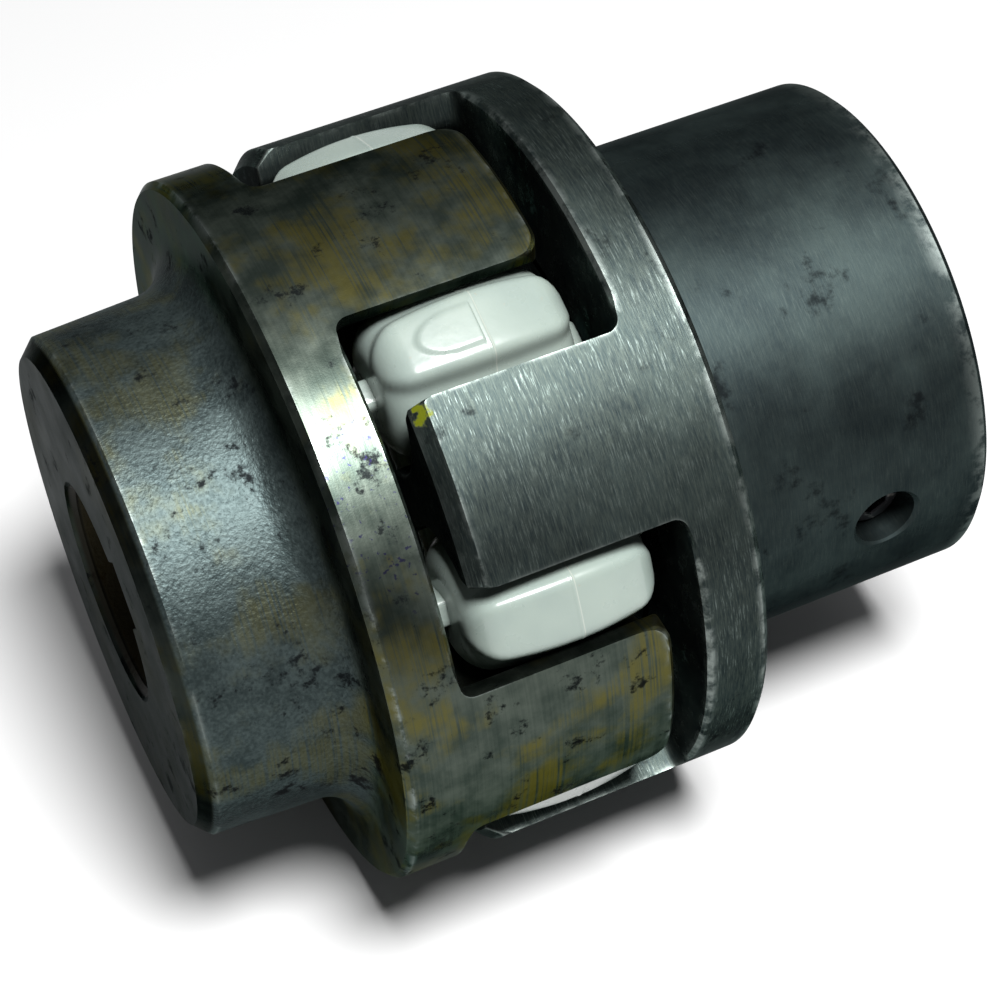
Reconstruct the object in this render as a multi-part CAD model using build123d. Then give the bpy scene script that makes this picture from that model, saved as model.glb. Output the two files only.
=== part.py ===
from build123d import *
import math
import os

# Curved-jaw shaft coupling: a short cast hub, a long turned hub, and an elastomer spider between
# their claws. The shaft axis is X, the short hub is on the -X side, and the origin is on the axis
# at the middle of the overall length. Angles round the axis run from +Z towards -Y. Millimetres.

# ---- driving dimensions ------------------------------------------------------------------------
outer_diameter = 55.0        # over both flanges and all claws
short_boss_diameter = 39.0   # cast boss at its front edge
long_boss_diameter = 39.2    # turned boss
bore_diameter = 16.0
short_boss_length = 12.4
short_flange_thickness = 5.0
jaw_gap = 18.3               # between the two flanges' inner faces
long_flange_thickness = 4.9
long_boss_length = 22.9
claws_per_hub = 4

# ---- stations along the shaft axis -------------------------------------------------------------
overall_length = (short_boss_length + short_flange_thickness + jaw_gap
                  + long_flange_thickness + long_boss_length)
short_face_x = -overall_length / 2
short_shoulder_x = short_face_x + short_boss_length
short_inner_x = short_shoulder_x + short_flange_thickness
long_inner_x = short_inner_x + jaw_gap
long_shoulder_x = long_inner_x + long_flange_thickness
long_face_x = overall_length / 2
spider_x = (short_inner_x + long_inner_x) / 2

# ---- hub bodies ----------------------------------------------------------------------------------
outer_radius = outer_diameter / 2
boss_draft = 0.35            # extra radius of the cast boss where it meets the flange
face_chamfer = 1.2           # on the short hub's machined face
edge_chamfer = 0.5           # on flange rims and the long hub's end
shoulder_radius = 3.2        # casting fillet between boss and flange
groove_radius = 0.6          # tool radius where the turned boss meets its flange

# ---- claws ---------------------------------------------------------------------------------------
tooth_pitch = 360 / (2 * claws_per_hub)
rim_overrun = 4.0            # how far the cutting outlines run past the rim
tooth_centre_radius = 20.4   # where each barrel tooth's own axis runs
tooth_radius = 5.6           # of the barrel at mid-length
tooth_end_radius = 5.0       # of the barrel at its ends
flank_clearance = 0.35       # between a tooth and a claw's hollow flank
flank_radius = tooth_radius + flank_clearance
claw_inner_radius = 16.1
short_mouth_half_width = 3.3     # half the opening beside a cast claw, at the outside
long_mouth_half_width = 4.0      # the same beside a turned claw
mouth_corner_radius = 1.0
claw_toe_radius = 0.5        # on the claw's narrow inner end
claw_root_radius = 1.1       # where the flank runs into the flange
short_claw_length = 15.65
long_claw_length = 15.85
short_tip_corner = 1.8       # tip corner seen from outside
long_tip_corner = 0.5
short_tip_bevel = 0.3
long_tip_bevel = 1.05

# ---- spider --------------------------------------------------------------------------------------
spider_width = 14.2          # of a tooth, along the shaft
spider_outer_radius = 25.3   # crowned top of a tooth at mid-length
spider_end_outer_radius = 24.7
tooth_end_rounding = 1.3
tooth_top_rounding = 0.7
neck_half_width = 3.0        # of the web that joins a tooth to the ring
neck_width = 10.5            # of that web along the shaft
ring_outer_radius = 15.7
ring_inner_radius = 12.8
ring_width = 11.5
ring_edge = 0.6
spacer_height = 2.0          # bumps that keep the teeth off the flanges
spacer_gap = 0.05
spacer_radial = 3.6
spacer_tangential = 2.4

# ---- bores, keyways and set screw ----------------------------------------------------------------
bore_chamfer = 0.65
keyway_width = 5.0
keyway_depth = 2.3           # beyond the bore's wall
short_keyway_angle = 45.0    # midway between two claws
long_keyway_angle = 90.0     # the same on the long hub, under its set screw
screw_diameter = 5.0
screw_clearance = 0.05
screw_from_end = 8.7
screw_hole_chamfer = 0.35
screw_length = 6.0
screw_recess = 2.2           # the screw's top below the boss's surface
screw_tip_chamfer = 0.8
socket_across_flats = 2.5
socket_depth = 2.6


def turned_body(face_x, shoulder_x, inner_x, front_radius, root_radius, shoulder_fillet, front_chamfer):
    """Boss and flange as one turned profile, from the end face to the flange's inner face."""
    outline = Polyline((face_x, 0), (face_x, front_radius), (shoulder_x, root_radius),
                       (shoulder_x, outer_radius), (inner_x, outer_radius), (inner_x, 0), close=True)
    profile = make_face(outline)
    shoulder = [v for v in profile.vertices() if abs(v.X - shoulder_x) < 0.01 and v.Y < outer_radius - 1]
    profile = fillet(shoulder, shoulder_fillet)
    rim = [v for v in profile.vertices() if abs(v.Y - outer_radius) < 0.01 and abs(v.X - shoulder_x) < 0.01]
    profile = chamfer(rim, edge_chamfer)
    front = [v for v in profile.vertices() if abs(v.X - face_x) < 0.01 and v.Y > 1]
    profile = chamfer(front, front_chamfer)
    return revolve(profile, Axis.X)


def claw_section(mouth_half_width):
    """One claw across the shaft, run out past the rim: its hollow flanks are where the teeth sit."""
    half_sector = tooth_pitch / 2
    reach = 2 * outer_radius
    spread = reach * math.tan(math.radians(half_sector))
    sector = make_face(Polyline((0, 0), (-spread, reach), (spread, reach), close=True))
    section = sector & (Circle(outer_radius + rim_overrun) - Circle(claw_inner_radius))
    for side in (-1, 1):
        seat = Pos(0, tooth_centre_radius) * Circle(flank_radius)
        mouth = Pos(0, tooth_centre_radius + outer_radius / 2) * Rectangle(2 * mouth_half_width, outer_radius)
        section -= Rot(0, 0, side * half_sector) * (seat + mouth)
    radii = [(v, math.hypot(v.X, v.Y)) for v in section.vertices()]
    lips = [v for v, r in radii if claw_inner_radius + 1 < r < outer_radius]
    section = fillet(lips, mouth_corner_radius)
    toes = [v for v in section.vertices() if abs(math.hypot(v.X, v.Y) - claw_inner_radius) < 0.01]
    return fillet(toes, claw_toe_radius)


def space_cutter(mouth_half_width, inner_x, length, direction, first_angle):
    """Everything between the claws, with rounded bottom edges that leave the claws' root radius."""
    section = Circle(outer_radius + rim_overrun / 2)
    one_claw = claw_section(mouth_half_width)
    for index in range(claws_per_hub):
        section -= Rot(0, 0, first_angle + index * 360 / claws_per_hub) * one_claw
    across = Plane(origin=(inner_x, 0, 0), x_dir=(0, 1, 0), z_dir=(1, 0, 0))
    cutter = extrude(across * section, amount=(length + 1) * direction)
    bottom = []
    for edge in cutter.edges():
        flat = abs(edge.position_at(0).X - inner_x) < 0.01 and abs(edge.position_at(1).X - inner_x) < 0.01
        middle = edge.position_at(0.5)
        if flat and math.hypot(middle.Y, middle.Z) < outer_radius + rim_overrun / 2 - 0.1:
            bottom.append(edge)
    return fillet(bottom, claw_root_radius)


def claw_trim(mouth_half_width, inner_x, length, direction, tip_corner, tip_bevel, first_angle):
    """What the claws are cut down to: plan corners rounded, tips bevelled, the flange left whole."""
    half_angle = math.radians(tooth_pitch / 2) - math.asin(mouth_half_width / outer_radius)
    plan_width = 2 * outer_radius * math.sin(half_angle) + 0.04
    plan = fillet(Rectangle(2 * length, plan_width).vertices(), tip_corner)
    prism = extrude(Pos(inner_x, 0, 0) * plan, amount=2 * outer_radius)
    tip_x = inner_x + length * direction
    root_x = inner_x + 3 * claw_root_radius * direction
    back_x = inner_x - 2 * outer_radius * direction
    big = 2 * outer_radius
    trim = make_face(Polyline((back_x, 0), (root_x, 0), (root_x, big), (back_x, big), close=True))
    trim = revolve(trim, Axis.X)
    for index in range(claws_per_hub):
        trim += prism.rotate(Axis.X, first_angle + index * 360 / claws_per_hub)
    bevel = make_face(Polyline((back_x, 0), (tip_x, 0), (tip_x, outer_radius - tip_bevel),
                               (tip_x - 2 * tip_bevel * direction, outer_radius + tip_bevel),
                               (back_x, outer_radius + tip_bevel), close=True))
    return trim & revolve(bevel, Axis.X)


def keyed_bore(start_x, end_x, keyway_angle):
    """Cutter for a through bore with chamfered mouths and a parallel keyway."""
    radius = bore_diameter / 2
    low, high = min(start_x, end_x), max(start_x, end_x)
    outline = Polyline((low - 1, 0), (low - 1, radius + bore_chamfer + 1), (low + bore_chamfer, radius),
                       (high - bore_chamfer, radius), (high + 1, radius + bore_chamfer + 1), (high + 1, 0),
                       close=True)
    hole = revolve(make_face(outline), Axis.X)
    key_height = radius + keyway_depth
    slot = Pos((low + high) / 2, 0, key_height / 2) * Box(high - low + 4, keyway_width, key_height)
    return hole + slot.rotate(Axis.X, keyway_angle)


def hub(body, spaces, trim, bore_cutter):
    """A hub: its turned body with the spaces between the claws cut out, and its keyed bore."""
    return (body - spaces - bore_cutter) & trim


def short_hub():
    """Cast hub: short drafted boss, heavy casting fillet, machined face and rim."""
    front = short_boss_diameter / 2
    tip_x = short_inner_x + short_claw_length
    body = turned_body(short_face_x, short_shoulder_x, tip_x, front, front + boss_draft,
                       shoulder_radius, face_chamfer)
    spaces = space_cutter(short_mouth_half_width, short_inner_x, short_claw_length, 1, 0)
    trim = claw_trim(short_mouth_half_width, short_inner_x, short_claw_length, 1, short_tip_corner,
                     short_tip_bevel, 0)
    return hub(body, spaces, trim, keyed_bore(short_face_x, short_inner_x, short_keyway_angle))


def long_hub():
    """Turned hub: long parallel boss, bevelled claws, tapped hole over the keyway."""
    radius = long_boss_diameter / 2
    tip_x = long_inner_x - long_claw_length
    body = turned_body(long_face_x, long_shoulder_x, tip_x, radius, radius, groove_radius, edge_chamfer)
    spaces = space_cutter(long_mouth_half_width, long_inner_x, long_claw_length, -1, tooth_pitch)
    trim = claw_trim(long_mouth_half_width, long_inner_x, long_claw_length, -1, long_tip_corner,
                     long_tip_bevel, tooth_pitch)
    shape = hub(body, spaces, trim, keyed_bore(long_inner_x, long_face_x, long_keyway_angle))
    return shape - screw_hole()


def screw_hole():
    """Radial cutter from the keyway out through the boss, with a chamfered mouth."""
    radius = screw_diameter / 2
    top = long_boss_diameter / 2
    outline = Polyline((0, 0), (radius, 0), (radius, top - screw_hole_chamfer),
                       (radius + screw_hole_chamfer + 1, top + 1), (0, top + 1), close=True)
    cutter = revolve(make_face(Plane.XZ * outline), Axis.Z)
    return Pos(long_face_x - screw_from_end, 0, 0) * cutter.rotate(Axis.X, long_keyway_angle)


def set_screw():
    """Socket set screw with a coned tip, sunk below the boss's surface."""
    radius = screw_diameter / 2 - screw_clearance
    top = long_boss_diameter / 2 - screw_recess
    bottom = top - screw_length
    edge = 0.4
    outline = Polyline((0, bottom), (radius - screw_tip_chamfer, bottom), (radius, bottom + screw_tip_chamfer),
                       (radius, top - edge), (radius - edge, top), (0, top), close=True)
    body = revolve(make_face(Plane.XZ * outline), Axis.Z)
    socket = Pos(0, 0, top - socket_depth) * extrude(
        RegularPolygon(socket_across_flats / 2, 6, major_radius=False), amount=socket_depth + 1)
    cone = Pos(0, 0, top - socket_depth) * Cone(0.1, socket_across_flats / 2 - 0.05, 0.7,
                                                align=(Align.CENTER, Align.CENTER, Align.MAX))
    shape = (body - socket - cone).rotate(Axis.X, long_keyway_angle)
    return Pos(long_face_x - screw_from_end, 0, 0) * shape


def tooth():
    """One crowned barrel tooth pointing up, with its neck and its two spacer bumps."""
    half = spider_width / 2
    barrel_outline = ThreePointArc((-half, tooth_end_radius), (0, tooth_radius), (half, tooth_end_radius))
    sides = Polyline((half, tooth_end_radius), (half, 0), (-half, 0), (-half, tooth_end_radius))
    profile = make_face(Curve() + [barrel_outline, sides])
    ends = [v for v in profile.vertices() if v.Y > 1]
    barrel = revolve(fillet(ends, tooth_end_rounding), Axis.X)
    barrel = Pos(0, 0, tooth_centre_radius) * barrel
    crown_outline = ThreePointArc((-half - 1, spider_end_outer_radius - 0.1), (0, spider_outer_radius),
                                  (half + 1, spider_end_outer_radius - 0.1))
    under = Polyline((half + 1, spider_end_outer_radius - 0.1), (half + 1, 0), (-half - 1, 0),
                     (-half - 1, spider_end_outer_radius - 0.1))
    crown = revolve(make_face(Curve() + [crown_outline, under]), Axis.X)
    barrel = barrel & crown
    top = [e for e in barrel.edges() if e.position_at(0.5).Z > tooth_centre_radius + 3]
    barrel = fillet(top, tooth_top_rounding)
    neck_height = tooth_centre_radius - ring_outer_radius + 1
    neck = Pos(0, 0, tooth_centre_radius - neck_height / 2) * Box(neck_width, 2 * neck_half_width, neck_height)
    bump_length = (jaw_gap - spider_width) / 2 - spacer_gap + 1
    shape = barrel + neck
    for side in (-1, 1):
        bump = Box(bump_length, spacer_tangential, spacer_radial)
        bump = fillet(bump.edges().filter_by(Axis.X), 0.6)
        bump_x = side * (jaw_gap / 2 - spacer_gap - bump_length / 2)
        shape += Pos(bump_x, 0, tooth_centre_radius - 1) * bump
    return shape


def spider():
    """One-piece elastomer spider: a ring with a barrel tooth in every space between claws."""
    ring = Cylinder(ring_outer_radius, ring_width) - Cylinder(ring_inner_radius, ring_width + 1)
    ring = chamfer(ring.edges(), ring_edge)
    shape = ring.rotate(Axis.Y, 90)
    one_tooth = tooth()
    for index in range(2 * claws_per_hub):
        shape += one_tooth.rotate(Axis.X, (index + 0.5) * tooth_pitch)
    return Pos(spider_x, 0, 0) * shape


parts = {
    "short_hub": short_hub,
    "long_hub": long_hub,
    "spider": spider,
    "set_screw": set_screw,
}

os.makedirs("parts", exist_ok=True)
for name, make in parts.items():
    shape = make()
    print(name, round(shape.volume), shape.bounding_box())
    export_step(shape, f"parts/{name}.step")
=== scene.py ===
import math

import bmesh
import bpy
import numpy as np
from mathutils import Matrix, Vector


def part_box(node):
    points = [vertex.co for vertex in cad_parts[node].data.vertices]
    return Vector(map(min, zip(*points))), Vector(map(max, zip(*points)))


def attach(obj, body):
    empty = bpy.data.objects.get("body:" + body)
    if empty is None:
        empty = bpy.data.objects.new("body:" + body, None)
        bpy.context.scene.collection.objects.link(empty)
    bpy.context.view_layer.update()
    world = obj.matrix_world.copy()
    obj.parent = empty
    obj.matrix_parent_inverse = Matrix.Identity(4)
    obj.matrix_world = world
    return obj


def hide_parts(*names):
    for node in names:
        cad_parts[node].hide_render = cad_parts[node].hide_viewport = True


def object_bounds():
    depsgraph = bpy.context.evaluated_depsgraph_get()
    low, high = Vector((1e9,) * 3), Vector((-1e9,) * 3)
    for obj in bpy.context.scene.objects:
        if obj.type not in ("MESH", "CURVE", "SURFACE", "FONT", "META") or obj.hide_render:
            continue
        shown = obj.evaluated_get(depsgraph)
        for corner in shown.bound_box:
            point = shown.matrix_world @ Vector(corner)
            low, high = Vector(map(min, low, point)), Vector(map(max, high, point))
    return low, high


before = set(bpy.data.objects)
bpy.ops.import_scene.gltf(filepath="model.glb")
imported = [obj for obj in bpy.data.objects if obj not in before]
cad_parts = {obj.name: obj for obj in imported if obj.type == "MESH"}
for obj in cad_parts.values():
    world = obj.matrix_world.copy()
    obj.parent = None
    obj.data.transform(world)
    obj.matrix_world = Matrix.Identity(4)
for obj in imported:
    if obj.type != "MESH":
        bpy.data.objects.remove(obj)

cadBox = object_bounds()
mm = 0.001
perMetre = 1000.0

# sizes that several pieces share, in millimetres; the X axis is the shaft's axis
shortLow, shortHigh = [np.array(p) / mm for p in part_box("short_hub")]
longLow, longHigh = [np.array(p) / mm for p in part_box("long_hub")]
spiderLow, spiderHigh = [np.array(p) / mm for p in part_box("spider")]
screwLow, screwHigh = [np.array(p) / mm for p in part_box("set_screw")]
rimRadius = shortHigh[2]                          # over flanges and claws
spiderX = (spiderLow[0] + spiderHigh[0]) / 2      # middle of the jaw gap
screwX = (screwLow[0] + screwHigh[0]) / 2
jaws = {
    "perHub": 4,
    "pitch": math.radians(45),     # between neighbouring teeth
    "toothCentre": 20.4,           # radius of each tooth's own axis
    "seatRadius": 5.95,            # hollow of a claw's flank
    "toeRadius": 16.1,             # how far in the claws reach
    "toeRound": 0.5,
    "lipRound": 1.0,
    "rootRound": 1.1,
    "edgeRound": 0.22,
}
toothAngles = (np.arange(2 * jaws["perHub"]) + 0.5) * jaws["pitch"]


# grids of points, and the meshes that they become

def arc(start, stop, count):
    return start + (stop - start) * np.linspace(0, 1, count)


def fullTurn(count):
    # angles round a circle, the first not repeated
    return arc(0, 2 * np.pi, count + 1)[:-1]


quarterTurn = np.pi / 2
weldDistance = 2e-6      # metres, far below the smallest edge
thinnestEdge = 1e-6


def gridFaces(rows, cols, closedRows=False, closedCols=False):
    # quads of a rows x cols grid of points, wrapping where closed
    r = np.arange(rows if closedRows else rows - 1)
    c = np.arange(cols if closedCols else cols - 1)
    r, c = np.meshgrid(r, c, indexing="ij")
    r1, c1 = (r + 1) % rows, (c + 1) % cols
    return np.stack([r * cols + c, r * cols + c1, r1 * cols + c1, r1 * cols + c], -1).reshape(-1, 4)


class Shell:
    # gathers grids of points, then becomes one merged mesh
    def __init__(self):
        self.points, self.faces, self.wear, self.count = [], [], [], 0

    def add(self, grid, wear=0.0, closedRows=False, closedCols=False):
        # grid is rows x cols x 3 in millimetres; wear is how rubbed each point is, 0 to 1
        rows, cols = grid.shape[:2]
        self.points.append(grid.reshape(-1, 3))
        self.wear.append(np.broadcast_to(wear, (rows, cols)).reshape(-1))
        self.faces.append(gridFaces(rows, cols, closedRows, closedCols) + self.count)
        self.count += rows * cols

    def build(self, name, sharpAngle):
        mesh = bpy.data.meshes.new(name)
        points = np.concatenate(self.points) * mm
        mesh.from_pydata(points.tolist(), [], np.concatenate(self.faces).tolist())
        rubbed = mesh.attributes.new("wear", "FLOAT", "POINT")
        rubbed.data.foreach_set("value", np.concatenate(self.wear).astype(np.float32))
        bm = bmesh.new()
        bm.from_mesh(mesh)
        bmesh.ops.remove_doubles(bm, verts=bm.verts, dist=weldDistance)
        bmesh.ops.dissolve_degenerate(bm, edges=bm.edges, dist=thinnestEdge)
        bmesh.ops.recalc_face_normals(bm, faces=bm.faces)
        bm.to_mesh(mesh)
        bm.free()
        piece = bpy.data.objects.new(name, mesh)
        bpy.context.scene.collection.objects.link(piece)
        smooth(piece, sharpAngle)
        return piece


def smooth(piece, sharpAngle):
    mesh = piece.data
    mesh.polygons.foreach_set("use_smooth", np.ones(len(mesh.polygons), bool))
    mesh.set_sharp_from_angle(angle=math.radians(sharpAngle))
    mesh.update()


def combine(piece, other, operation):
    # exact boolean with another object, applied to the mesh
    tool = piece.modifiers.new(operation.lower(), "BOOLEAN")
    tool.operation, tool.solver, tool.object = operation, "EXACT", other
    bpy.context.view_layer.update()
    made = bpy.data.meshes.new_from_object(piece.evaluated_get(bpy.context.evaluated_depsgraph_get()))
    piece.modifiers.clear()
    piece.data = made
    bpy.data.objects.remove(other)


def around(x, radius, angle):
    # point at a radius and an angle from +Z towards -Y, at a station x
    x, radius, angle = np.broadcast_arrays(x, radius, angle)
    return np.stack([x, -radius * np.sin(angle), radius * np.cos(angle)], -1)


def angleOf(points):
    return np.arctan2(points[..., 0], points[..., 1])


def radiusOf(points):
    return np.hypot(points[..., 0], points[..., 1])


# the two hubs
shortHub = {
    "faceX": shortLow[0], "shoulderX": shortLow[0] + 12.4, "innerX": shortLow[0] + 17.4,
    "tipX": shortHigh[0], "frontRadius": 19.5, "rootRadius": 19.85, "shoulderRound": 3.2,
    "faceChamfer": 1.2, "rimChamfer": 0.5, "mouthHalf": 3.3, "tipBevel": 0.3, "tipCorner": 1.8,
    "firstClaw": 0.0, "keyway": math.radians(45), "boreRadius": 8.0, "boreChamfer": 0.65,
    "keyHalf": 2.5, "keyTop": 10.3, "windowChamfer": 0.25, "sharpAngle": 32.0,
}
longHub = {
    "faceX": longHigh[0], "shoulderX": longHigh[0] - 22.9, "innerX": longHigh[0] - 27.8,
    "tipX": longLow[0], "frontRadius": 19.6, "rootRadius": 19.6, "shoulderRound": 0.6,
    "faceChamfer": 0.5, "rimChamfer": 0.5, "mouthHalf": 4.0, "tipBevel": 1.05, "tipCorner": 0.5,
    "firstClaw": math.radians(45), "keyway": math.radians(90), "boreRadius": 8.0, "boreChamfer": 0.65,
    "keyHalf": 2.5, "keyTop": 10.3, "windowChamfer": 0.3, "sharpAngle": 32.0,
}
halfColumns = 14                  # columns from a claw's middle to its edge
gap = np.linspace(0, 1, 34)       # columns of the floor between two claws, as shares
clawShares = np.sin(np.linspace(-quarterTurn, quarterTurn, 2 * halfColumns + 1))     # -1 to 1 across a claw
clawPitch = 2 * jaws["pitch"]
wallSteps = {"root": 7, "wall": 6, "edge": 5, "toe": 7, "hollow": 26, "lip": 8, "mouth": 4}
turnedSteps = {
    "ring": 5, "bore": 10, "face": 7, "chamfer": 4, "boss": 14, "fillet": 10, "shoulder": 5, "rim": 8,
}
wallRub = [0.0, 0.0, 0.0, 0.1, 0.4]      # wear up a claw's wall, row by row
rubbing = {
    "wall": 0.7, "rimReach": 0.5, "crease": 0.6, "creaseHalf": 0.25, "sideSharpness": 40, "endSharpness": 3,
    "frontFace": 0.8, "chamfer": 0.25, "chamferEdge": 0.85, "shoulder": 0.5,
}


def flank(hub, offset):
    # half of a claw's outline, offset outwards, from its middle toe to the rim: arcs about fixed
    # centres, whose radii take up the offset, then a straight mouth. Columns: across, outwards.
    pitch, reach = jaws["pitch"] / 2, jaws["toothCentre"]
    seat, toe, lip, inner = jaws["seatRadius"], jaws["toeRound"], jaws["lipRound"], jaws["toeRadius"]
    mouth = hub["mouthHalf"]
    along = ((inner + toe) ** 2 - (seat + toe) ** 2 + reach ** 2) / (2 * reach)
    toeCentre = np.array([along, math.sqrt((inner + toe) ** 2 - along ** 2)])
    lipCentre = np.array([reach + math.sqrt((seat + lip) ** 2 - (mouth + lip) ** 2), mouth + lip])
    toothCentre = np.array([reach, 0.0])

    def turn(vector):
        return math.atan2(vector[1], vector[0])

    def stretch(centre, radius, first, last, count):
        angle = arc(first, last, count)[1:]
        return centre + radius * np.stack([np.cos(angle), np.sin(angle)], -1)

    # in the tooth's own frame: first number along the tooth's radius, second towards the claw
    angle = pitch + (turn(toeCentre) - pitch) * clawShares[halfColumns:]
    start = (inner - offset) * np.stack([np.cos(angle), np.sin(angle)], -1)
    toeTurn = stretch(toeCentre, toe + offset, turn(-toeCentre) + 2 * math.pi,
                      turn(toothCentre - toeCentre), wallSteps["toe"])
    hollow = stretch(toothCentre, seat - offset, turn(toeCentre - toothCentre),
                     turn(lipCentre - toothCentre), wallSteps["hollow"])
    lipTurn = stretch(lipCentre, lip + offset, turn(toothCentre - lipCentre) + 2 * math.pi,
                      1.5 * math.pi, wallSteps["lip"])
    side = mouth - offset
    lowest = math.hypot(lipCentre[0], side)
    crease, inside = rimRadius - hub["tipBevel"], rimRadius - hub["windowChamfer"]
    radii = np.concatenate([arc(lowest, crease, wallSteps["mouth"])[1:], [inside, rimRadius]])
    straight = np.stack([np.sqrt(radii ** 2 - side ** 2), np.full(radii.shape, side)], -1)
    path = np.concatenate([start, toeTurn, hollow, lipTurn, straight])
    # into the claw's frame: across it, and outwards
    cosine, sine = math.cos(pitch), math.sin(pitch)
    outwards = path[:, 0] * cosine + path[:, 1] * sine
    across = path[:, 0] * sine - path[:, 1] * cosine
    return np.stack([across, outwards], -1)


def tipHeight(hub, length, across, radius):
    # a claw's length at a point: its full length, less the bevel near the rim and the plan corner
    half = flank(hub, 0.0)[-1, 0]
    corner = hub["tipCorner"]
    over = np.clip(np.abs(across) - (half - corner), 0, corner)
    rounded = corner - np.sqrt(corner ** 2 - over ** 2)
    bevelled = np.clip(radius - (rimRadius - hub["tipBevel"]), 0, None)
    return length - rounded - bevelled


def boreRadius(hub, angle, radius):
    # the bore's radius at an angle, which steps out to the keyway's walls and top; sine and cosine
    # are kept off zero, where the keyway doesn't reach anyway
    turned = np.abs((angle - hub["keyway"] + np.pi) % (2 * np.pi) - np.pi)
    wall = hub["keyHalf"] / np.maximum(np.sin(np.minimum(turned, quarterTurn)), 1e-6)
    top = hub["keyTop"] / np.maximum(np.cos(np.minimum(turned, 1.2)), 0.2)
    keyed = np.minimum(wall, top)
    return np.where(turned < np.arcsin(hub["keyHalf"] / radius), np.maximum(keyed, radius), radius)


def snapToKeyway(hub, angles):
    # the columns nearest to the keyway's four edges move onto them
    angles = angles.copy()
    bottom = math.asin(hub["keyHalf"] / hub["boreRadius"])
    top = math.atan2(hub["keyHalf"], hub["keyTop"])
    for edge in [bottom, top, -bottom, -top]:
        difference = (angles - hub["keyway"] - edge + np.pi) % (2 * np.pi) - np.pi
        nearest = np.argmin(np.abs(difference))
        angles[nearest] -= difference[nearest]
    return angles


def clawWall(hub, length):
    # rows of a claw's wall, each a path and its heights: the root's fillet, the wall itself, and
    # the quarter turn over the tip's edge
    root, edge = jaws["rootRound"], jaws["edgeRound"]
    rows = []
    for a in arc(0, quarterTurn, wallSteps["root"]):
        path = flank(hub, root * (1 - math.sin(a)))
        rows.append((path, np.full(len(path), root * (1 - math.cos(a)))))
    top = flank(hub, 0.0)
    tipTop = tipHeight(hub, length, top[:, 0], radiusOf(top)) - edge
    for share in arc(0, 1, wallSteps["wall"])[1:]:
        rows.append((top, root + (tipTop - root) * share))
    for a in arc(0, quarterTurn, wallSteps["edge"])[1:]:
        path = flank(hub, -edge * (1 - math.cos(a)))
        limit = tipHeight(hub, length, path[:, 0], radiusOf(path))
        rows.append((path, tipTop + (limit - tipTop) * math.sin(a)))
    return rows


def addClaw(shell, hub, sign, length, wall, clawAngle):
    # two flanks, the tip face as arcs from flank to flank, and the outer face at the rim
    upright = wallSteps["root"] + wallSteps["wall"] - 1       # rows below the tip's rounded edge
    rub = np.array([0.0] * wallSteps["root"] + wallRub + [1.0] * (wallSteps["edge"] - 1))
    top = wall[upright - 1][0]
    nearRim = np.clip(1 - (rimRadius - radiusOf(top)) / rubbing["rimReach"], 0, 1)
    for side in (-1, 1):
        grid = [around(hub["innerX"] + sign * height, radiusOf(path), clawAngle + side * angleOf(path))
                for path, height in wall]
        shell.add(np.stack(grid), np.maximum(rub[:, None] * rubbing["wall"], nearRim[None, :]))
    path = wall[-1][0][halfColumns:]
    radius, angle = radiusOf(path)[:, None], angleOf(path)[:, None] * clawShares[None, :]
    height = tipHeight(hub, length, radius * np.sin(angle), radius)
    fromCrease = (radius - (rimRadius - hub["tipBevel"])) / rubbing["creaseHalf"]
    crease = rubbing["crease"] * np.exp(-fromCrease ** 2) * np.ones_like(angle)
    shell.add(around(hub["innerX"] + sign * height, radius, clawAngle + angle), crease)
    rows, rubs = [], []
    for path, height in wall[:upright]:
        angle = angleOf(path[-1]) * clawShares
        rows.append(around(hub["innerX"] + sign * height[-1], rimRadius, clawAngle + angle))
        rubs.append(np.abs(clawShares) ** rubbing["sideSharpness"])
    base = wall[upright - 1][1][-1]
    for (path, height), a in zip(wall[upright:], arc(0, quarterTurn, wallSteps["edge"])[1:]):
        angle = angleOf(path[-1]) * clawShares
        reach = tipHeight(hub, length, rimRadius * np.sin(angle), rimRadius)
        x = hub["innerX"] + sign * (base + (reach - base) * math.sin(a))
        rows.append(around(x, rimRadius, clawAngle + angle))
        rubs.append(np.ones_like(clawShares) * math.sin(a) ** rubbing["endSharpness"])
    shell.add(np.stack(rows), np.stack(rubs))


def addFloor(shell, hub, sign, floorPath, dip, clawAngle):
    # arcs from one claw's root to the next claw's, the last one dipped by the window's chamfer
    path = floorPath[halfColumns:]
    radius, angle = radiusOf(path), angleOf(path)
    start, stop = clawAngle + angle, clawAngle + clawPitch - angle
    across = start[:, None] + (stop - start)[:, None] * gap[None, :]
    atRim = np.arange(len(radius))[:, None] == len(radius) - 1
    rub = np.zeros_like(across)
    rub[-2:] = 1.0
    shell.add(around(hub["innerX"] - sign * np.where(atRim, dip[None, :], 0), radius[:, None], across), rub)


def ring(clawAngles, claw):
    # angles of one full ring of columns: across each claw, then across the gap after it
    parts = []
    for clawAngle in clawAngles:
        parts.append(clawAngle + claw * clawShares[:-1])
        first, last = clawAngle + claw, clawAngle + clawPitch - claw
        parts.append(first + (last - first) * gap[:-1])
    return np.concatenate(parts)


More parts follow.
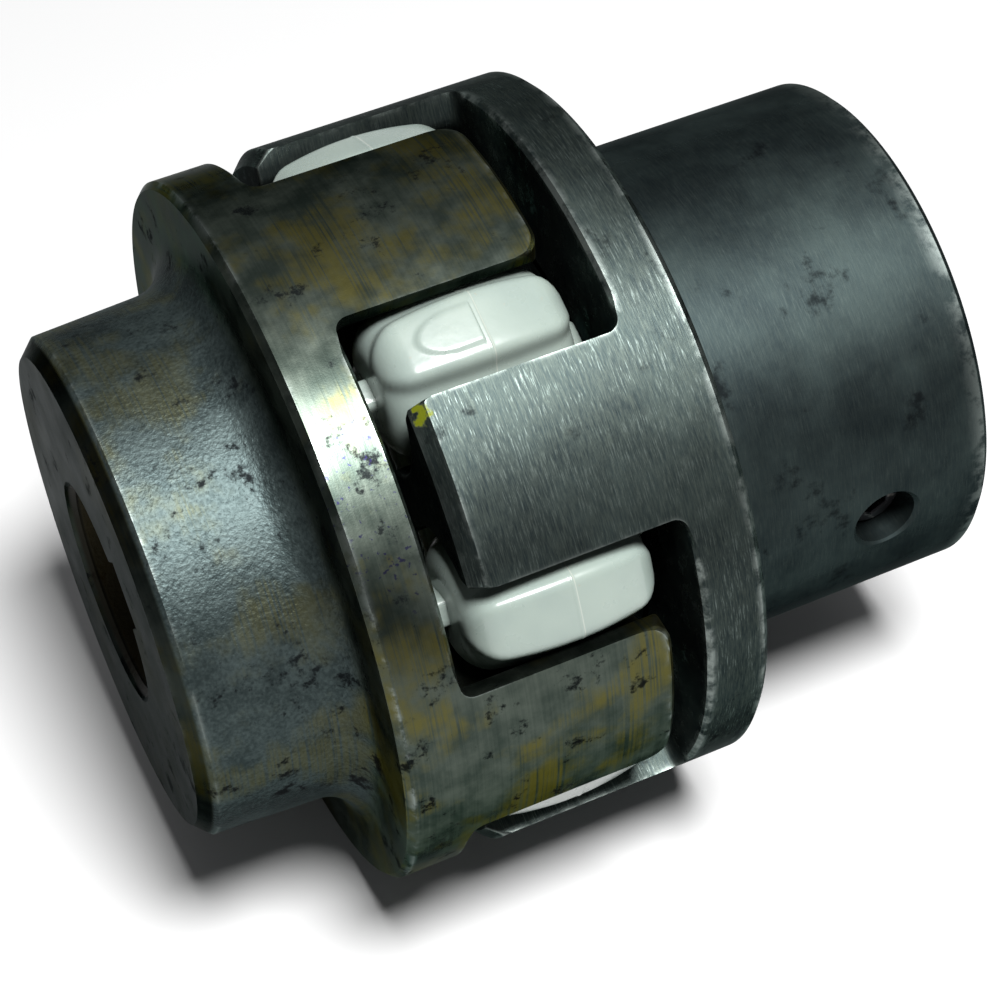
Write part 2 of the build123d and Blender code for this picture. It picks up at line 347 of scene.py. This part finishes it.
def turnedRows(hub, sign, toeRing, toeAngles, boreAngles, rimAngles, ringDip):
    # rows round the axis, as a profile: from the ring inside the toes down the bore to the front
    # face, out over its chamfer, along the boss, through the fillet and over the flange's rim
    rows, rub = [], []

    def row(x, radius, angles, wear=0.0):
        rows.append(around(x, radius, angles))
        rub.append(wear)

    inner, face, shoulderX = hub["innerX"], hub["faceX"], hub["shoulderX"]
    bored = boreRadius(hub, boreAngles, hub["boreRadius"])
    mouth = boreRadius(hub, boreAngles, hub["boreRadius"] + hub["boreChamfer"])
    row(inner, toeRing, toeAngles)
    for share in arc(0, 1, turnedSteps["ring"])[1:]:
        row(inner, toeRing + (mouth - toeRing) * share, toeAngles + (boreAngles - toeAngles) * share)
    boreStart, boreStop = inner - sign * hub["boreChamfer"], face + sign * hub["boreChamfer"]
    for x in arc(boreStart, boreStop, turnedSteps["bore"]):
        row(x, bored, boreAngles)
    row(face, mouth, boreAngles)
    front, root = hub["frontRadius"], hub["rootRadius"]
    chamfer, fillet, rimChamfer = hub["faceChamfer"], hub["shoulderRound"], hub["rimChamfer"]
    for share in arc(0, 1, turnedSteps["face"])[1:]:
        row(face, mouth + (front - chamfer - mouth) * share, boreAngles + (rimAngles - boreAngles) * share)
    rub[-1] = rubbing["frontFace"]
    for t in arc(0, 1, turnedSteps["chamfer"])[1:]:
        row(face + sign * chamfer * t, front - chamfer + chamfer * t, rimAngles, rubbing["chamfer"])
    rub[-1] = rubbing["chamferEdge"]
    bossStart, bossEnd = face + sign * chamfer, shoulderX - sign * fillet
    for t in arc(0, 1, turnedSteps["boss"])[1:]:
        row(bossStart + (bossEnd - bossStart) * t, front + (root - front) * t, rimAngles)
    for a in arc(0, quarterTurn, turnedSteps["fillet"])[1:]:
        row(bossEnd + sign * fillet * math.sin(a), root + fillet * (1 - math.cos(a)), rimAngles)
    for radius in arc(root + fillet, rimRadius - rimChamfer, turnedSteps["shoulder"])[1:]:
        row(shoulderX, radius, rimAngles)
    rub[-1] = rubbing["shoulder"]
    rimStart, rimStop = shoulderX + sign * rimChamfer, inner - sign * ringDip
    row(rimStart, rimRadius, rimAngles, 1.0)
    for t in arc(0, 1, turnedSteps["rim"])[1:]:
        row(rimStart + (rimStop - rimStart) * t, rimRadius, rimAngles)
    return np.stack(rows), rub


def buildHub(name, hub):
    shell = Shell()
    sign = 1.0 if hub["tipX"] > hub["innerX"] else -1.0       # the way the claws point
    length = abs(hub["tipX"] - hub["innerX"])
    clawAngles = hub["firstClaw"] + clawPitch * np.arange(jaws["perHub"])
    floorPath = flank(hub, jaws["rootRound"])
    dip = hub["windowChamfer"] * np.clip(np.sin(np.pi * gap) * 6, 0, 1)
    wall = clawWall(hub, length)
    for clawAngle in clawAngles:
        addClaw(shell, hub, sign, length, wall, clawAngle)
    for clawAngle in clawAngles:
        addFloor(shell, hub, sign, floorPath, dip, clawAngle)
    rimAngles = ring(clawAngles, angleOf(floorPath[-1]))
    toeAngles = ring(clawAngles, angleOf(floorPath[halfColumns]))
    ringDip = np.tile(np.concatenate([np.zeros(2 * halfColumns), dip[:-1]]), jaws["perHub"])
    grid, rub = turnedRows(hub, sign, radiusOf(floorPath[halfColumns]), toeAngles,
                           snapToKeyway(hub, rimAngles), rimAngles, ringDip)
    rubbed = np.array(rub)[:, None] * np.ones(grid.shape[1])
    rubbed[-1] = np.where(ringDip > 0, 1.0, 0.0)
    shell.add(grid, rubbed, closedCols=True)
    piece = shell.build(name, hub["sharpAngle"])
    print(name, "points", len(piece.data.vertices), "faces", len(piece.data.polygons))
    return piece


screwHole = {"radius": 2.5, "bottom": 8.5, "chamfer": 0.35, "past": 1.0, "columns": 48}


def upright(x, profile, angle):
    # a profile of heights and radii turned about a line that stands out along -Y at a station x
    return np.stack([np.stack([x + r * np.cos(angle), np.full(angle.shape, -h), r * np.sin(angle)], -1)
                     for h, r in profile])


def drill(piece, hub):
    # the tapped hole that the set screw sits in, with a chamfered mouth that runs past the boss
    bottom, top = screwHole["bottom"], hub["frontRadius"]
    radius, chamfer, past = screwHole["radius"], screwHole["chamfer"], screwHole["past"]
    profile = [(bottom, 0.0), (bottom, radius), (top - chamfer, radius)]
    profile += [(top + past, radius + chamfer + past), (top + past, 0.0)]
    shell = Shell()
    shell.add(upright(screwX, profile, fullTurn(screwHole["columns"])), closedCols=True)
    combine(piece, shell.build("drill", hub["sharpAngle"]), "DIFFERENCE")
    smooth(piece, hub["sharpAngle"])


# the spider between them
spiderForm = {
    "halfWidth": 7.1, "midRadius": 5.6, "endRadius": 4.75, "endRound": 2.0,
    "topMid": 26.9, "topEnd": 25.9, "neckHalf": 2.8, "neckEnd": 2.3,
    "neckCorner": 8.0, "neckBlend": 14.0,       # higher is sharper
    "seamX": 0.35, "seamHeight": 0.05, "seamWidth": 0.12, "seamReach": 0.5,
    "padStart": -4.4, "padStop": 0.2, "padHalf": 1.55, "padHeight": 0.17, "padEdge": 0.12,
    "padInset": 0.3, "padStraight": 0.35,       # the straight part's share of the pad
    "ringInner": 12.8, "ringOuter": 15.7, "ringHalf": 5.75, "ringRound": 0.6,
    "bumpReach": 9.1, "bumpHalfAcross": 1.2, "bumpRound": 0.35, "bumpSink": 1.5, "bumpPower": 0.4,
    "bumpNarrowing": 0.22,
    "bumpHalfUp": {-1: 1.8, 1: 1.2}, "bumpCentre": {-1: 19.4, 1: 17.4},       # by side along X
    "paddedTooth": 0, "sharpAngle": 40.0,
}
toothSteps = {"cap": 6, "round": 8, "start": 30, "seam": 17, "stop": 20, "columns": 132, "crowding": 0.45}
neckLimit = 0.4      # cosine of the angle from the top where the neck ends, inside the barrel


def padHeights(form, x, across):
    # a D lying along x: straight at its stop, round at its start, with a smooth step round its edge
    middle, straight = form["padStop"] - form["padInset"], form["padStraight"]
    left = np.clip((middle - x) / (middle - form["padStart"]), 0, None)
    rounding = np.clip((left - straight) / (1 - straight), 0, None)
    inside = 1 - np.sqrt((across / form["padHalf"]) ** 2 + rounding ** 2)
    stopped = (form["padStop"] - x) / form["padHalf"]
    share = np.clip(np.minimum(inside, stopped) / form["padEdge"], 0, 1)
    return form["padHeight"] * share * share * (3 - 2 * share)


def toothGrid(form, padded):
    # a barrel about its own axis with a flat-topped neck that rises through the claws' mouth: the
    # larger of a circle and a rounded box, both drawn in along x by a parabola and rounded at the
    # ends, plus the mould's seam ring near mid-length and the raised pad
    half, rounding, seamX, capRows = form["halfWidth"], form["endRound"], form["seamX"], toothSteps["cap"]
    flat, before, after = half - rounding, seamX - form["seamReach"], seamX + form["seamReach"]
    seamRows = arc(before, after, toothSteps["seam"])[1:-1]
    inner = np.concatenate([arc(-flat, before, toothSteps["start"]), seamRows,
                            arc(after, flat, toothSteps["stop"])])
    ends = flat + rounding * np.sin(arc(0, quarterTurn, toothSteps["round"])[1:])
    cap = arc(1.0, 0.0, capRows + 1)[1:]
    x = np.concatenate([np.full(capRows, -half), -ends[::-1], inner, ends, np.full(capRows, half)])[:, None]
    shrink = np.concatenate([cap[::-1], np.ones(len(x) - 2 * capRows), cap])[:, None]
    crown = (x / half) ** 2
    over = np.clip(np.abs(x) - flat, 0, rounding)
    lost = rounding - np.sqrt(rounding ** 2 - over ** 2)
    seam = form["seamHeight"] * np.exp(-((x - seamX) / form["seamWidth"]) ** 2)
    side = form["midRadius"] - (form["midRadius"] - form["endRadius"]) * crown - lost
    top = form["topMid"] - (form["topMid"] - form["topEnd"]) * crown - lost - jaws["toothCentre"]
    neck = form["neckHalf"] - (form["neckHalf"] - form["neckEnd"]) * crown - lost
    angle = fullTurn(toothSteps["columns"])[None, :] - np.pi
    angle = angle - toothSteps["crowding"] * np.sin(angle)       # columns crowd towards the top
    up, out = np.maximum(np.cos(angle), 1e-3), np.maximum(np.abs(np.sin(angle)), 1e-3)
    corner, blend = form["neckCorner"], form["neckBlend"]
    box = ((top / up) ** -corner + (neck / out) ** -corner) ** (-1 / corner)
    box = np.where(np.cos(angle) > neckLimit, box, 0.1)
    radius = (side ** blend + box ** blend) ** (1 / blend)
    radius = (radius + seam) * shrink
    if padded:
        radius = radius + padHeights(form, x, radius * np.sin(angle)) * (np.cos(angle) > 0.5)
    flatX = np.broadcast_to(x, radius.shape)
    return np.stack([flatX, radius * np.sin(angle), jaws["toothCentre"] + radius * np.cos(angle)], -1)


def placed(grid, angle):
    # a grid made at the top (+Z), turned round the shaft's axis towards -Y and moved to the gap
    y, z = grid[..., 1], grid[..., 2]
    return np.stack([grid[..., 0] + spiderX, y * math.cos(angle) - z * math.sin(angle),
                     y * math.sin(angle) + z * math.cos(angle)], -1)


def bumpGrid(form, side):
    # a rounded block: a superellipse outline, drawn in at its free end
    angle = fullTurn(32)
    power, rounding = form["bumpPower"], form["bumpRound"]
    y = form["bumpHalfAcross"] * np.sign(np.cos(angle)) * np.abs(np.cos(angle)) ** power
    z = form["bumpHalfUp"][side] * np.sign(np.sin(angle)) * np.abs(np.sin(angle)) ** power
    start, shoulder = form["halfWidth"] - form["bumpSink"], form["bumpReach"] - rounding
    steps = [(start, 0.0), (start, 1.0), (shoulder, 1.0)]
    for a in arc(0, quarterTurn, 5)[1:]:
        steps.append((shoulder + rounding * math.sin(a), 1 - form["bumpNarrowing"] * (1 - math.cos(a))))
    steps.append((form["bumpReach"], 0.0))
    return np.stack([np.stack([np.full(angle.shape, side * x), y * k, form["bumpCentre"][side] + z * k], -1)
                     for x, k in steps])


def ringGrid(form):
    # a rounded rectangle turned about the shaft's axis
    inner, outer, half, rounding = form["ringInner"], form["ringOuter"], form["ringHalf"], form["ringRound"]
    outline = []
    corners = [(half, outer), (-half, outer), (-half, inner), (half, inner)]
    for index, (x, r) in enumerate(corners):
        for a in np.radians(arc(90.0 * index, 90.0 * index + 90.0, 6)):
            centreX, centreR = x - math.copysign(rounding, x), r - rounding * (1 if r == outer else -1)
            outline.append((centreX + rounding * math.cos(a), centreR + rounding * math.sin(a)))
    outline = np.array(outline)
    return around(spiderX + outline[:, 0][:, None], outline[:, 1][:, None], fullTurn(192)[None, :])


def buildSpider(form):
    sharpAngle = form["sharpAngle"]
    ringShell, toothShell, bumpShell = Shell(), Shell(), Shell()
    ringShell.add(ringGrid(form), closedRows=True, closedCols=True)
    for index, angle in enumerate(toothAngles):
        toothShell.add(placed(toothGrid(form, index == form["paddedTooth"]), angle), closedCols=True)
        for side in (-1, 1):
            bumpShell.add(placed(bumpGrid(form, side), angle), closedCols=True)
    piece = ringShell.build("spider_body", sharpAngle)
    combine(piece, toothShell.build("teeth", sharpAngle), "UNION")
    combine(piece, bumpShell.build("bumps", sharpAngle), "UNION")
    smooth(piece, sharpAngle)
    print("spider points", len(piece.data.vertices), "faces", len(piece.data.polygons))
    return piece


# the set screw
screwForm = {
    "radius": 2.45, "tipRadius": 1.65, "tipHeight": 0.8, "edge": 0.4,
    "pitch": 0.8, "threadDepth": 0.16, "threadRows": 72, "fadeIn": 0.3, "fadeOut": 0.2,
    "socket": 1.25, "socketDepth": 2.6, "socketEdge": 0.12, "socketPoint": 0.6, "sharpAngle": 28.0,
}


def buildScrew(form):
    # turned about its own axis: a helical thread ripples the radius, the top sinks to a hexagon
    # socket whose radius is its half width over the cosine of the angle from each flat
    top, bottom = -screwLow[1], -screwHigh[1]
    angle = fullTurn(96)
    none = np.zeros_like(angle)
    hexagon = form["socket"] / np.cos((angle + np.pi / 6) % (np.pi / 3) - np.pi / 6)
    threadStart, threadStop, deep = bottom + form["tipHeight"], top - form["edge"], top - form["socketDepth"]
    profile = [(bottom, none), (bottom, none + form["tipRadius"])]
    for height in arc(threadStart, threadStop, form["threadRows"]):
        fade = min(1.0, (height - threadStart) / form["fadeIn"], (threadStop - height) / form["fadeOut"])
        ripple = np.abs((height / form["pitch"] + angle / (2 * np.pi)) % 1.0 - 0.5) * 2
        profile.append((height, form["radius"] - form["threadDepth"] * ripple * max(fade, 0.0)))
    profile.append((top, none + form["radius"] - form["edge"]))
    profile.append((top, hexagon + form["socketEdge"]))
    profile.append((top - form["socketEdge"], hexagon))
    profile.append((deep, hexagon))
    profile.append((deep - form["socketPoint"], none))
    shell = Shell()
    shell.add(upright(screwX, profile, angle), closedCols=True)
    piece = shell.build("set_screw_body", form["sharpAngle"])
    print("set screw points", len(piece.data.vertices))
    return piece


shortPiece = buildHub("short_hub_body", shortHub)
longPiece = buildHub("long_hub_body", longHub)
drill(longPiece, longHub)
spiderPiece = buildSpider(spiderForm)
screwPiece = buildScrew(screwForm)
for made, node, slotName in [(shortPiece, "short_hub", "cast_hub"), (longPiece, "long_hub", "turned_hub"),
                             (spiderPiece, "spider", "spider"), (screwPiece, "set_screw", "screw")]:
    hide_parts(node)
    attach(made, node)


# materials

class Value:
    # wraps a shader socket, so that node maths reads as arithmetic
    def __init__(self, tree, socket):
        self.tree, self.socket = tree, socket

    def maths(self, operation, *others):
        return self.tree.node("ShaderNodeMath", {"operation": operation}, dict(enumerate([self, *others])))

    def __add__(self, other):
        return self.maths("ADD", other)

    def __sub__(self, other):
        return self.maths("SUBTRACT", other)

    def __rsub__(self, other):
        return self.tree.node("ShaderNodeMath", {"operation": "SUBTRACT"}, {0: other, 1: self})

    def __mul__(self, other):
        return self.maths("MULTIPLY", other)

    def __pow__(self, other):
        return self.maths("POWER", other)

    __radd__, __rmul__ = __add__, __mul__

    def clamp(self):
        return self.maths("MAXIMUM", 0.0).maths("MINIMUM", 1.0)

    def step(self, low, high):
        # 0 below low, 1 above high, smooth between
        return self.tree.node("ShaderNodeMapRange", {"interpolation_type": "SMOOTHSTEP"},
                              {"Value": self, "From Min": low, "From Max": high})


class Tree:
    # one material's nodes
    def __init__(self, name):
        self.material = bpy.data.materials.new(name)
        self.material.use_nodes = True
        self.nodes, self.links = self.material.node_tree.nodes, self.material.node_tree.links
        self.nodes.clear()

    def make(self, kind, settings, values):
        made = self.nodes.new(kind)
        for key, value in settings.items():
            setattr(made, key, value)
        for key, value in values.items():
            if isinstance(value, Value):
                self.links.new(value.socket, made.inputs[key])
            else:
                made.inputs[key].default_value = value
        return made

    def node(self, kind, settings, values, output=0):
        return Value(self, self.make(kind, settings, values).outputs[output])

    def position(self):
        return self.node("ShaderNodeTexCoord", {}, {}, output="Object")

    def mapped(self, scale, stretch=(1, 1, 1), offset=(0, 0, 0)):
        # position in lumps, where scale is in lumps per millimetre
        lumps = tuple(perMetre * scale * s for s in stretch)
        return self.node("ShaderNodeMapping", {},
                         {"Vector": self.position(), "Location": offset, "Scale": lumps})

    def noise(self, scale, detail=3.0, roughness=0.55, **placing):
        return self.node("ShaderNodeTexNoise", {}, {"Vector": self.mapped(scale, **placing), "Scale": 1.0,
                                                    "Detail": detail, "Roughness": roughness})

    def cells(self, scale):
        return self.node("ShaderNodeTexVoronoi", {"feature": "F1"},
                         {"Vector": self.mapped(scale), "Scale": 1.0})

    def mix(self, share, first, second):
        return self.node("ShaderNodeMix", {"data_type": "RGBA"}, {0: share, 6: first, 7: second}, output=2)

    def bump(self, height, distance, strength, **under):
        return self.node("ShaderNodeBump", {},
                         {"Height": height, "Distance": distance, "Strength": strength, **under})

    def axes(self):
        split = self.make("ShaderNodeSeparateXYZ", {}, {"Vector": self.position()})
        return [Value(self, output) * perMetre for output in split.outputs]

    def wear(self):
        return self.node("ShaderNodeAttribute", {"attribute_name": "wear"}, {}, output="Fac")

    def spot(self, place, size, scale):
        # 1 inside a ragged spot round a place in millimetres, 0 outside
        far = self.node("ShaderNodeVectorMath", {"operation": "DISTANCE"},
                        {0: self.position(), 1: tuple(p * mm for p in place)}, output="Value")
        ragged = far * perMetre + (self.noise(scale) - 0.5) * (size * 0.9)
        return 1 - ragged.step(size * 0.75, size)

    def finish(self, values):
        surface = self.node("ShaderNodeBsdfPrincipled", {}, values)
        self.make("ShaderNodeOutputMaterial", {}, {"Surface": surface})
        return self.material


# the darkest colour serves for real stains and also as painted shade on the short hub's front face
ironLook = {
    "stainAndShade": (0.005, 0.006, 0.007, 1), "bright": (0.30, 0.34, 0.32, 1), "rust": (0.040, 0.027, 0.007, 1),
    "machinedLight": (0.080, 0.096, 0.080, 1), "edgeTint": (0.25, 0.27, 0.27, 1), "specularLevel": 0.25,
    "boreStart": 8.2, "boreStop": 8.5,
}
castLook = {
    "castColour": (0.026, 0.036, 0.036, 1), "castLight": (0.056, 0.074, 0.073, 1),
    "machinedColour": (0.033, 0.044, 0.037, 1), "olive": (0.098, 0.090, 0.026, 1),
    "violet": (0.014, 0.012, 0.045, 1), "frecklesAt": (-17.0, -19.0, 19.5), "frecklesReach": 7.0,
    "grainDepth": 0.00004, "markDepth": 0.000008,
}


def castHubMaterial():
    look = {**ironLook, **castLook}
    tree = Tree("cast_iron_hub")
    x, y, z = tree.axes()
    radius = (y * y + z * z) ** 0.5
    shoulder, front = shortHub["shoulderX"], shortHub["faceX"]
    boss = 1 - (x + 0.3 * (tree.noise(0.4) - 0.5)).step(shoulder - 0.7, shoulder + 0.1)
    face = 1 - x.step(front + 0.75, front + 1.0)
    bore = 1 - radius.step(look["boreStart"], look["boreStop"])
    cast = (boss * (1 - face)).clamp()
    grain = tree.noise(3.6, 2.0, 0.5)
    fine = tree.noise(8.0, 2.0, 0.5)
    pits = tree.cells(2.7)
    blotch = tree.noise(0.13, 4.0, 0.62)
    clouds = tree.noise(0.30, 4.0, 0.6, offset=(7.3, 0.2, 4.1))
    spots = tree.noise(0.33, 6.0, 0.72, offset=(3.1, 1.7, 0.4))
    marks = tree.noise(1.0, 3.0, 0.6, stretch=(5.0, 0.06, 0.06))       # long round the axis
    skin = tree.mix((clouds * 0.6 + grain * 0.5).step(0.38, 0.72), look["castColour"], look["castLight"])
    cut = (marks * 0.25 + clouds * 0.85).step(0.36, 0.78)
    cut = tree.mix(cut, look["machinedColour"], look["machinedLight"])
    colour = tree.mix(cast, cut, skin)
    yellow = (blotch.step(0.47, 0.64) * (0.35 + 0.5 * (1 - cast)) * marks.step(0.30, 0.55)).clamp()
    colour = tree.mix(yellow, colour, look["olive"])
    dark = (spots.step(0.57, 0.66) * 0.9).clamp()
    colour = tree.mix(dark, colour, look["stainAndShade"])
    # heat-tinted freckles on the flange's rim
    freckles = tree.noise(1.9, 4.0, 0.6, offset=(2.2, 9.1, 3.3)).step(0.61, 0.66)
    freckles = (freckles * tree.spot(look["frecklesAt"], look["frecklesReach"], 0.4) * (1 - cast)).clamp()
    colour = tree.mix(freckles * 0.8, colour, look["violet"])
    colour = tree.mix((bore * (0.55 + 0.4 * clouds)).clamp(), colour, look["rust"])
    edge = (tree.wear() ** 4.0 * tree.noise(0.35, 6.0, 0.7).step(0.46, 0.62)).clamp()
    colour = tree.mix(edge * 0.6, colour, look["bright"])
    # painted shade: the front face, turned away from the key light, is darkened 70% towards the darkest
    # colour
    colour = tree.mix(face * 0.7, colour, look["stainAndShade"])
    rough = (0.37 + 0.13 * cast + 0.22 * (clouds - 0.5) + 0.18 * dark - 0.08 * edge + 0.2 * bore).clamp()
    metallic = (1.0 - 0.12 * cast - 0.4 * bore).clamp()
    coarse = tree.bump((grain * 0.8 + fine * 0.5 + pits * 0.6) * cast, look["grainDepth"], 0.9)
    shallow = tree.bump(marks * (1 - cast) + fine * 0.6, look["markDepth"], 0.7, Normal=coarse)
    return tree.finish({"Base Color": colour, "Metallic": metallic, "Roughness": rough, "Normal": shallow,
                        "Specular Tint": look["edgeTint"], "Specular IOR Level": look["specularLevel"]})


turnedLook = {
    "dark": (0.014, 0.020, 0.022, 1), "light": (0.031, 0.043, 0.043, 1), "scratch": (0.15, 0.185, 0.18, 1),
    "paint": (0.10, 0.115, 0.006, 1), "paintAt": (-11.1, -14.5, 22.6), "paintReach": 0.95,
    "markDepth": 0.000016,
}


def turnedHubMaterial():
    look = {**ironLook, **turnedLook}
    tree = Tree("turned_iron_hub")
    x, y, z = tree.axes()
    radius = (y * y + z * z) ** 0.5
    boss = x.step(longHub["shoulderX"] + 0.1, longHub["shoulderX"] + 0.9)
    bore = 1 - radius.step(look["boreStart"], look["boreStop"])
    blotch = tree.noise(0.14, 4.0, 0.6, offset=(5.2, 0.3, 2.2))
    spots = tree.noise(0.20, 6.0, 0.68, offset=(1.3, 4.4, 0.9))
    marks = tree.noise(1.0, 4.0, 0.75, stretch=(10.0, 0.75, 0.75))     # long round the axis
    broken = tree.noise(0.6, 4.0, offset=(2.0, 2.0, 2.0))
    scratches = (marks.step(0.54, 0.66) * broken.step(0.40, 0.58) * (1 - 0.9 * boss)).clamp()
    colour = tree.mix(blotch.step(0.30, 0.75), look["dark"], look["light"])
    colour = tree.mix((marks.step(0.3, 0.7) * (0.5 - 0.35 * boss)).clamp(), colour, look["machinedLight"])
    colour = tree.mix((scratches * 0.5).clamp(), colour, look["scratch"])
    dark = (spots.step(0.58, 0.70) * 0.8).clamp()
    colour = tree.mix(dark, colour, look["stainAndShade"])
    edge = (tree.wear() ** 2.0 * tree.noise(0.35, 6.0, 0.7).step(0.40, 0.58)).clamp()
    colour = tree.mix(edge * 0.6, colour, look["bright"])
    dab = (tree.spot(look["paintAt"], look["paintReach"], 2.0) * tree.noise(1.4).step(0.35, 0.5)).clamp()
    colour = tree.mix(dab, colour, look["paint"])
    colour = tree.mix((bore * 0.6).clamp(), colour, look["rust"])
    rough = (0.49 + 0.06 * boss + 0.20 * (blotch - 0.5) - 0.10 * scratches + 0.1 * dark - 0.1 * edge).clamp()
    normal = tree.bump(marks * (1 - 0.75 * boss) + tree.noise(2.2) * 0.5, look["markDepth"], 0.8)
    return tree.finish({"Base Color": colour, "Metallic": (1.0 - 0.8 * dab).clamp(), "Roughness": rough,
                        "Normal": normal, "Specular Tint": look["edgeTint"],
                        "Specular IOR Level": look["specularLevel"]})


ivoryLook = {
    "light": (0.205, 0.245, 0.218, 1), "dark": (0.172, 0.210, 0.192, 1), "dirt": (0.22, 0.20, 0.16, 1),
    "seam": (0.42, 0.41, 0.36, 1), "seamAside": 0.14, "seamHalf": 0.07, "waves": 0.00004,
    "softness": 0.08, "softReach": 0.002, "softColour": (1.0, 0.9, 0.7),
    "gloss": 0.25, "glossRoughness": 0.12, "ior": 1.5,
}


def spiderMaterial():
    look = ivoryLook
    tree = Tree("ivory_polyurethane")
    x = tree.axes()[0]
    specks = tree.noise(1.6, 3.0, 0.5, offset=(0.7, 2.1, 1.1)).step(0.70, 0.76)
    seamX = spiderX + spiderForm["seamX"] + look["seamAside"]
    seam = 1 - (x - seamX).maths("ABSOLUTE").step(0.0, look["seamHalf"])
    colour = tree.mix(tree.noise(0.12).step(0.3, 0.7), look["light"], look["dark"])
    colour = tree.mix((specks * 0.5).clamp(), colour, look["dirt"])
    colour = tree.mix((seam * 0.35).clamp(), colour, look["seam"])
    rough = (0.22 + 0.14 * tree.noise(0.5)).clamp()
    return tree.finish({"Base Color": colour, "Roughness": rough,
                        "Normal": tree.bump(tree.noise(0.7), look["waves"], 0.5),
                        "Subsurface Weight": look["softness"], "Subsurface Scale": look["softReach"],
                        "Subsurface Radius": look["softColour"], "Coat Weight": look["gloss"],
                        "Coat Roughness": look["glossRoughness"], "IOR": look["ior"]})


oxideLook = {
    "black": (0.035, 0.035, 0.038, 1), "bare": (0.30, 0.29, 0.27, 1), "metallic": 0.9, "grain": 0.00002,
}


def screwMaterial():
    look = oxideLook
    tree = Tree("black_oxide_steel")
    worn = tree.noise(1.2, 4.0).step(0.55, 0.70)
    colour = tree.mix((worn * 0.6).clamp(), look["black"], look["bare"])
    rough = (0.34 + 0.2 * tree.noise(2.0)).clamp()
    return tree.finish({"Base Color": colour, "Metallic": look["metallic"], "Roughness": rough,
                        "Normal": tree.bump(tree.noise(3.0), look["grain"], 0.5)})


for made, material in [(shortPiece, castHubMaterial()), (longPiece, turnedHubMaterial()),
                       (spiderPiece, spiderMaterial()), (screwPiece, screwMaterial())]:
    made.data.materials.clear()
    made.data.materials.append(material)
print("materials done")


# camera, lights and floor
view = {"azimuth": -22.27, "elevation": 47.81, "roll": -3.34, "place": (-0.05338, -0.13048, 0.14984),
        "sensor": 36.0, "focal": 2.678}
lights = {
    "key": {"place": (0.02, -0.20, 0.50), "size": 0.16, "power": 8.2},
    "fill": {"place": (0.1, 0.4, 0.6), "size": 0.7, "power": 0.4},
}
studio = {
    "air": (0.95, 0.97, 1.0, 1), "airStrength": 0.13,
    "paper": (0.46, 0.46, 0.46, 1), "paperRoughness": 0.9, "floorReach": 6000.0, "floorGap": 0.02,
}


def placeCamera():
    # right is level and back points at the viewer, then both lean by a small roll about back
    azimuth, elevation, roll = [math.radians(view[key]) for key in ("azimuth", "elevation", "roll")]
    level = Vector((math.cos(azimuth), math.sin(azimuth), 0))
    back = Vector((math.sin(azimuth) * math.cos(elevation), -math.cos(azimuth) * math.cos(elevation),
                   math.sin(elevation)))
    right = level * math.cos(roll) + back.cross(level) * math.sin(roll)
    data = bpy.data.cameras.new("camera")
    data.sensor_width, data.lens = view["sensor"], view["sensor"] * view["focal"]
    data.clip_start, data.clip_end = 0.005, 20.0
    camera = bpy.data.objects.new("camera", data)
    bpy.context.scene.collection.objects.link(camera)
    turn = Matrix((right, back.cross(right), back)).transposed().to_4x4()
    camera.matrix_world = Matrix.Translation(view["place"]) @ turn
    bpy.context.scene.camera = camera


def placeLight(name, choice):
    # a round area light that points at the origin
    data = bpy.data.lights.new(name, "AREA")
    data.shape, data.size, data.energy = "DISK", choice["size"], choice["power"]
    light = bpy.data.objects.new(name, data)
    bpy.context.scene.collection.objects.link(light)
    light.location = choice["place"]
    light.rotation_euler = Vector(choice["place"]).to_track_quat("Z", "Y").to_euler()


def placeFloor():
    reach, height = studio["floorReach"], cadBox[0][2] / mm - studio["floorGap"]
    ends = np.array([-reach, reach])
    x, y = np.meshgrid(ends, ends)
    shell = Shell()
    shell.add(np.stack([x, y, np.full(x.shape, height)], -1))
    floor = shell.build("floor", shortHub["sharpAngle"])
    paper = Tree("pale_paper").finish({"Base Color": studio["paper"], "Roughness": studio["paperRoughness"]})
    floor.data.materials.append(paper)


placeCamera()
for name, choice in lights.items():
    placeLight(name, choice)
placeFloor()
world = bpy.data.worlds.new("studio")
bpy.context.scene.world = world
world.use_nodes = True
air = world.node_tree.nodes["Background"].inputs
air["Color"].default_value, air["Strength"].default_value = studio["air"], studio["airStrength"]
bpy.context.scene.view_settings.view_transform = "Standard"
print("stage done")
